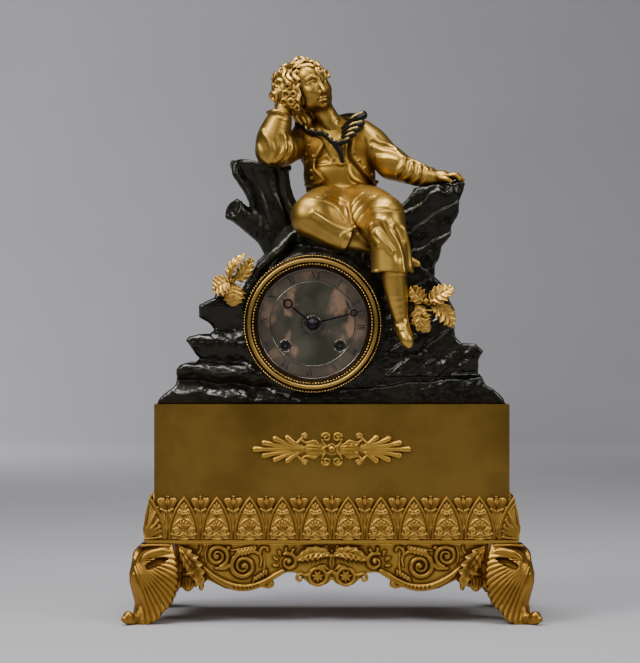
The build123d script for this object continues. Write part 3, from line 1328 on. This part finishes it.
make_train_wheel(
    "intermediate_wheel",
    INTERMEDIATE,
    (SECOND_PINION_LEVEL, PINION_LENGTH, PINION_LEAVES, TRAIN_MODULE, INTERMEDIATE_PINION_PHASE),
    (SECOND_WHEEL_LEVEL, WHEEL_THICKNESS, INTERMEDIATE_TEETH, TRAIN_MODULE, INTERMEDIATE_PINION_PHASE),
)
make_train_wheel(
    "third_wheel",
    THIRD,
    (END_SHAKE, PINION_LENGTH, THIRD_LEAVES, TRAIN_MODULE, THIRD_PINION_PHASE),
    (THIRD_WHEEL_LEVEL, WHEEL_THICKNESS, THIRD_TEETH, FINE_MODULE, THIRD_PINION_PHASE),
)

with BuildPart() as escape_wheel:
    arbor(ESCAPE)
    pinion_front = FRONT_PLATE_BACK + ESCAPE_PINION_LEVEL
    toothed_disc(ESCAPE, pinion_front, PINION_LENGTH, ESCAPE_LEAVES, FINE_MODULE, ESCAPE_PINION_PHASE)
    wheel_front = FRONT_PLATE_BACK + SECOND_WHEEL_LEVEL
    saw_disc(ESCAPE, wheel_front, WHEEL_THICKNESS, ESCAPE_TEETH, ESCAPE_RADIUS, ESCAPE_TOOTH_DEPTH)
save(escape_wheel, "escape_wheel")


# Anchor with its crutch, whose prongs stand on either side of the pendulum rod
def bar(start, end, width, front, back):
    """Adds a flat bar of the movement from one place to another."""
    along = (end[0] - start[0], end[1] - start[1])
    bearing = math.degrees(math.atan2(along[1], along[0]))
    with BuildSketch(movement_plane(back)) as outline:
        with Locations(Location(((start[0] + end[0]) / 2, (start[1] + end[1]) / 2), bearing)):
            Rectangle(math.dist(start, end), width)
    extrude(outline.sketch, amount=back - front)


CRUTCH_FRONT = BACK_PLATE_BACK + CRUTCH_LEVEL
CRUTCH_BACK = CRUTCH_FRONT + WHEEL_THICKNESS
CRUTCH_END = (ANCHOR[0], ANCHOR[1] - CRUTCH_LENGTH)
PENDULUM_BACK = PENDULUM_DEPTH + PENDULUM_THICKNESS / 2
PENDULUM_FRONT = PENDULUM_DEPTH - PENDULUM_THICKNESS / 2

with BuildPart() as anchor:
    disc(ANCHOR, FRONT_PLATE_BACK + END_SHAKE, CRUTCH_BACK, ARBOR_RADIUS)
    disc(ANCHOR, FRONT_PLATE_FRONT, FRONT_PLATE_BACK + END_SHAKE, PIVOT_RADIUS)
    pallet_front = FRONT_PLATE_BACK + SECOND_WHEEL_LEVEL
    for bearing in (90 - PALLET_ANGLE, 90 + PALLET_ANGLE):
        pallet = polar(ESCAPE, ESCAPE_RADIUS + PALLET_CLEARANCE + ANCHOR_ARM_WIDTH / 2, bearing)
        bar(ANCHOR, pallet, ANCHOR_ARM_WIDTH, pallet_front, pallet_front + WHEEL_THICKNESS)
    bar(ANCHOR, CRUTCH_END, ANCHOR_ARM_WIDTH, CRUTCH_FRONT, CRUTCH_BACK)
    prong = ROD_WIDTH / 2 + CRUTCH_PRONG_GAP + ANCHOR_ARM_WIDTH / 2
    foot_span = prong + ANCHOR_ARM_WIDTH / 2
    bar(
        (CRUTCH_END[0] - foot_span, CRUTCH_END[1]),
        (CRUTCH_END[0] + foot_span, CRUTCH_END[1]),
        ANCHOR_ARM_WIDTH,
        CRUTCH_FRONT,
        CRUTCH_BACK,
    )
    for sign in (-1, 1):
        bar(
            (CRUTCH_END[0] + sign * prong - ANCHOR_ARM_WIDTH / 2, CRUTCH_END[1]),
            (CRUTCH_END[0] + sign * prong + ANCHOR_ARM_WIDTH / 2, CRUTCH_END[1]),
            ANCHOR_ARM_WIDTH,
            CRUTCH_FRONT,
            PENDULUM_BACK,
        )
save(anchor, "anchor")

COCK_FRONT = BACK_PLATE_BACK + COCK_REACH
COCK_POSTS = [(sign * COCK_POST_SPREAD, ANCHOR[1] + COCK_POST_RISE) for sign in (-1, 1)]

with BuildPart() as suspension_cock:
    for place in COCK_POSTS:
        disc(place, BACK_PLATE_BACK, COCK_FRONT + COCK_THICKNESS, COCK_POST_RADIUS)
    bar(COCK_POSTS[0], COCK_POSTS[1], 2 * COCK_POST_RADIUS, COCK_FRONT, COCK_FRONT + COCK_THICKNESS)
    bar(
        ANCHOR,
        (ANCHOR[0], COCK_POSTS[0][1]),
        2 * STUD_RADIUS + 2 * EYE_WALL,
        COCK_FRONT,
        COCK_FRONT + COCK_THICKNESS,
    )
    disc(ANCHOR, PENDULUM_FRONT - END_SHAKE, COCK_FRONT + COCK_THICKNESS, STUD_RADIUS)
save(suspension_cock, "suspension_cock")

# Pendulum: an eye on the cock's stud, a rod, a lens bob and a rating nut
BOB = (ANCHOR[0], ANCHOR[1] - PENDULUM_LENGTH)
EYE_RADIUS = STUD_RADIUS + RUNNING_GAP + EYE_WALL

with BuildPart() as pendulum:
    disc(ANCHOR, PENDULUM_FRONT, PENDULUM_BACK, EYE_RADIUS)
    bar(ANCHOR, (BOB[0], BOB[1] - BOB_RADIUS - RATING_NUT_HEIGHT), ROD_WIDTH, PENDULUM_FRONT, PENDULUM_BACK)
    disc(ANCHOR, PENDULUM_FRONT, PENDULUM_BACK, STUD_RADIUS + RUNNING_GAP, mode=Mode.SUBTRACT)
    bob_centre = Vector(DIAL_PLACE + BOB[0], PENDULUM_DEPTH, DIAL_LEVEL + BOB[1])
    bulge = (BOB_RADIUS * BOB_BULGE_SHARES[0], BOB_HALF_THICKNESS * BOB_BULGE_SHARES[1])
    with BuildSketch(Plane(origin=bob_centre, x_dir=(1, 0, 0), z_dir=(0, 0, 1))):
        with BuildLine():
            Line((0, -BOB_HALF_THICKNESS), (0, BOB_HALF_THICKNESS))
            ThreePointArc((0, BOB_HALF_THICKNESS), bulge, (BOB_RADIUS, BOB_RIM))
            Line((BOB_RADIUS, BOB_RIM), (BOB_RADIUS, -BOB_RIM))
            ThreePointArc((BOB_RADIUS, -BOB_RIM), (bulge[0], -bulge[1]), (0, -BOB_HALF_THICKNESS))
        make_face()
    revolve(axis=Axis(bob_centre, (0, 1, 0)))
    with Locations((bob_centre.X, bob_centre.Y, bob_centre.Z - BOB_RADIUS - RATING_NUT_HEIGHT)):
        Cylinder(RATING_NUT_RADIUS, RATING_NUT_HEIGHT)
save(pendulum, "pendulum")

# Strike train: pin wheel, fly, hammer and bell
with BuildPart() as pin_wheel:
    arbor(PIN_WHEEL)
    pinion_front = FRONT_PLATE_BACK + SECOND_PINION_LEVEL
    toothed_disc(PIN_WHEEL, pinion_front, PINION_LENGTH, PINION_LEAVES, TRAIN_MODULE, PIN_WHEEL_PHASE)
    wheel_front = FRONT_PLATE_BACK + SECOND_WHEEL_LEVEL
    toothed_disc(PIN_WHEEL, wheel_front, WHEEL_THICKNESS, PIN_WHEEL_TEETH, TRAIN_MODULE, PIN_WHEEL_PHASE)
    pins_front = wheel_front + WHEEL_THICKNESS
    for pin in range(PIN_COUNT):
        pin_place = polar(PIN_WHEEL, PIN_CIRCLE, 360 / PIN_COUNT * pin)
        disc(pin_place, pins_front, pins_front + PIN_LENGTH, PIN_RADIUS)
save(pin_wheel, "pin_wheel")

with BuildPart() as fly:
    arbor(FLY)
    pinion_front = FRONT_PLATE_BACK + CENTRE_PINION_LEVEL
    toothed_disc(FLY, pinion_front, PINION_LENGTH, PINION_LEAVES, TRAIN_MODULE, FLY_PHASE)
    vane_front = FRONT_PLATE_BACK + FLY_VANE_LEVEL
    vane_ends = [(FLY[0] + sign * FLY_RADIUS, FLY[1]) for sign in (-1, 1)]
    bar(vane_ends[0], vane_ends[1], FLY_THICKNESS, vane_front, vane_front + FLY_LENGTH)
save(fly, "fly")

HAMMER_FRONT = BACK_PLATE_BACK + HAMMER_LEVEL
HAMMER_BACK = HAMMER_FRONT + HAMMER_HEAD_LENGTH

with BuildPart() as hammer:
    disc(HAMMER, FRONT_PLATE_BACK + END_SHAKE, HAMMER_BACK, ARBOR_RADIUS)
    disc(HAMMER, FRONT_PLATE_FRONT, FRONT_PLATE_BACK + END_SHAKE, PIVOT_RADIUS)
    bar(HAMMER, HAMMER_HEAD, HAMMER_ARM_WIDTH, HAMMER_FRONT, HAMMER_FRONT + HAMMER_ARM_WIDTH)
    disc(HAMMER_HEAD, HAMMER_FRONT, HAMMER_BACK, HAMMER_HEAD_RADIUS)
    tail_bearing = math.degrees(math.atan2(PIN_WHEEL[1] - HAMMER[1], PIN_WHEEL[0] - HAMMER[0]))
    tail = math.dist(HAMMER, PIN_WHEEL) - PIN_CIRCLE - PIN_RADIUS - HAMMER_TAIL_GAP
    tail_front = FRONT_PLATE_BACK + TAIL_LEVEL
    bar(HAMMER, polar(HAMMER, tail, tail_bearing), HAMMER_ARM_WIDTH, tail_front, tail_front + PIN_LENGTH)
save(hammer, "hammer")

BELL_MOUTH = BACK_PLATE_BACK + BELL_LEVEL
BELL_TOP = BELL_MOUTH + BELL_DEPTH

with BuildPart() as bell:
    bell_centre = Vector(DIAL_PLACE + BELL[0], 0, DIAL_LEVEL + BELL[1])
    crown = BELL_RADIUS * BELL_CROWN_SHARE
    with BuildSketch(Plane(origin=bell_centre, x_dir=(1, 0, 0), z_dir=(0, 0, 1))):
        face_outline(
            [
                (BELL_RADIUS, BELL_MOUTH),
                (BELL_RADIUS * math.cos(math.pi / 8), BELL_MOUTH + BELL_DEPTH / 2),
                (crown, BELL_TOP),
                (BELL_STAND_RADIUS, BELL_TOP),
                (BELL_STAND_RADIUS, BELL_TOP - BELL_WALL),
                (crown - BELL_WALL, BELL_TOP - BELL_WALL),
                (BELL_RADIUS * math.cos(math.pi / 8) - BELL_WALL, BELL_MOUTH + BELL_DEPTH / 2),
                (BELL_RADIUS - BELL_WALL, BELL_MOUTH),
            ]
        )
    revolve(axis=Axis(bell_centre, (0, 1, 0)))
save(bell, "bell")

BELL_POST = (-BELL_STAND_SPREAD, BELL[1])

with BuildPart() as bell_stand:
    disc(BELL_POST, BACK_PLATE_BACK, BELL_TOP + BELL_BAR_THICKNESS, BELL_STAND_RADIUS)
    bar(BELL_POST, BELL, BELL_BAR_WIDTH, BELL_TOP, BELL_TOP + BELL_BAR_THICKNESS)
    disc(BELL, BELL_TOP - BELL_WALL, BELL_TOP + BELL_BAR_THICKNESS, BELL_STAND_RADIUS)
    disc(BELL, BELL_TOP - 2 * BELL_WALL, BELL_TOP - BELL_WALL, BELL_NUT_RADIUS)
save(bell_stand, "bell_stand")

# Rear ring with its two straps to the bezel, and the hinged rear door
RING_BACK = REAR_SEAT_DEPTH + REAR_RING_THICKNESS
DOOR_FRONT = RING_BACK
DOOR_BACK = DOOR_FRONT + DOOR_THICKNESS
DOOR_RADIUS = MOVEMENT_BORE_RADIUS + DOOR_LAP
HINGE_PLACE = (DIAL_PLACE + REAR_RING_RADIUS - KNUCKLE_RADIUS, RING_BACK + KNUCKLE_RADIUS + SEAT_GAP)


def knuckle(low, high, radius, mode=Mode.ADD):
    """Adds an upright round on the hinge line between two levels."""
    with BuildSketch(Plane.XY.offset(low)) as outline:
        with Locations(HINGE_PLACE):
            Circle(radius)
    extrude(outline.sketch, amount=high - low, mode=mode)


with BuildPart() as rear_ring:
    disc(CENTRE, REAR_SEAT_DEPTH, RING_BACK, REAR_RING_RADIUS)
    ring_opening = MOVEMENT_BORE_RADIUS - STRAP_GAP - STRAP_THICKNESS
    disc(CENTRE, REAR_SEAT_DEPTH, RING_BACK, ring_opening, mode=Mode.SUBTRACT)
    for sign in (-1, 1):
        strap = DIAL_PLACE + sign * (MOVEMENT_BORE_RADIUS - STRAP_GAP)
        inner = strap - sign * STRAP_THICKNESS
        block(
            (min(strap, inner), BEZEL_SEAT_DEPTH, DIAL_LEVEL - STRAP_WIDTH / 2),
            (max(strap, inner), RING_BACK, DIAL_LEVEL + STRAP_WIDTH / 2),
        )
    for low in (DIAL_LEVEL - KNUCKLE_LENGTH * 3 / 2, DIAL_LEVEL + KNUCKLE_LENGTH / 2):
        block(
            (HINGE_PLACE[0] - KNUCKLE_RADIUS / 2, REAR_SEAT_DEPTH, low),
            (HINGE_PLACE[0] + KNUCKLE_RADIUS / 2, HINGE_PLACE[1], low + KNUCKLE_LENGTH),
        )
        knuckle(low, low + KNUCKLE_LENGTH, KNUCKLE_RADIUS)
    knuckle(DIAL_LEVEL - KNUCKLE_LENGTH, DIAL_LEVEL + KNUCKLE_LENGTH, HINGE_PIN_RADIUS)
save(rear_ring, "rear_ring")

with BuildPart() as rear_door:
    disc(CENTRE, DOOR_FRONT, DOOR_BACK, DOOR_RADIUS)
    half = KNUCKLE_LENGTH / 2 - SEAT_GAP
    block(
        (DIAL_PLACE + DOOR_RADIUS - DOOR_LAP, DOOR_FRONT, DIAL_LEVEL - half),
        (HINGE_PLACE[0], DOOR_BACK, DIAL_LEVEL + half),
    )
    knuckle(DIAL_LEVEL - half, DIAL_LEVEL + half, KNUCKLE_RADIUS)
    knuckle(DIAL_LEVEL - half, DIAL_LEVEL + half, HINGE_PIN_RADIUS + RUNNING_GAP, mode=Mode.SUBTRACT)
    disc((-DOOR_RADIUS + 2 * DOOR_KNOB_RADIUS, 0), DOOR_BACK, DOOR_BACK + DOOR_KNOB_LENGTH, DOOR_KNOB_RADIUS)
save(rear_door, "rear_door")

# Studs with nuts that hold the rock down, and the screws of the feet
with BuildPart() as case_fasteners:
    with BuildSketch(Plane.XY.offset(PLINTH_TOP + ROCK_STUD_BITE)):
        with Locations(*STUD_PLACES):
            Circle(ROCK_STUD_RADIUS)
    extrude(amount=-ROCK_STUD_BITE - PLINTH_WALL - NUT_HEIGHT)
    with BuildSketch(Plane.XY.offset(PLINTH_TOP - PLINTH_WALL)):
        with Locations(*STUD_PLACES):
            RegularPolygon(NUT_RADIUS, 6)
    extrude(amount=-NUT_HEIGHT)
    with BuildSketch(Plane.XY.offset(BASE_TOP)):
        with Locations(*FOOT_SCREW_PLACES):
            Circle(FOOT_SCREW_RADIUS)
    extrude(amount=-BASE_PLATE_HEIGHT - FOOT_SCREW_BITE)
    with BuildSketch(Plane.XY.offset(BASE_TOP)):
        with Locations(*FOOT_SCREW_PLACES):
            Circle(FOOT_SCREW_HEAD_RADIUS)
    extrude(amount=FOOT_SCREW_HEAD_HEIGHT)
save(case_fasteners, "case_fasteners")
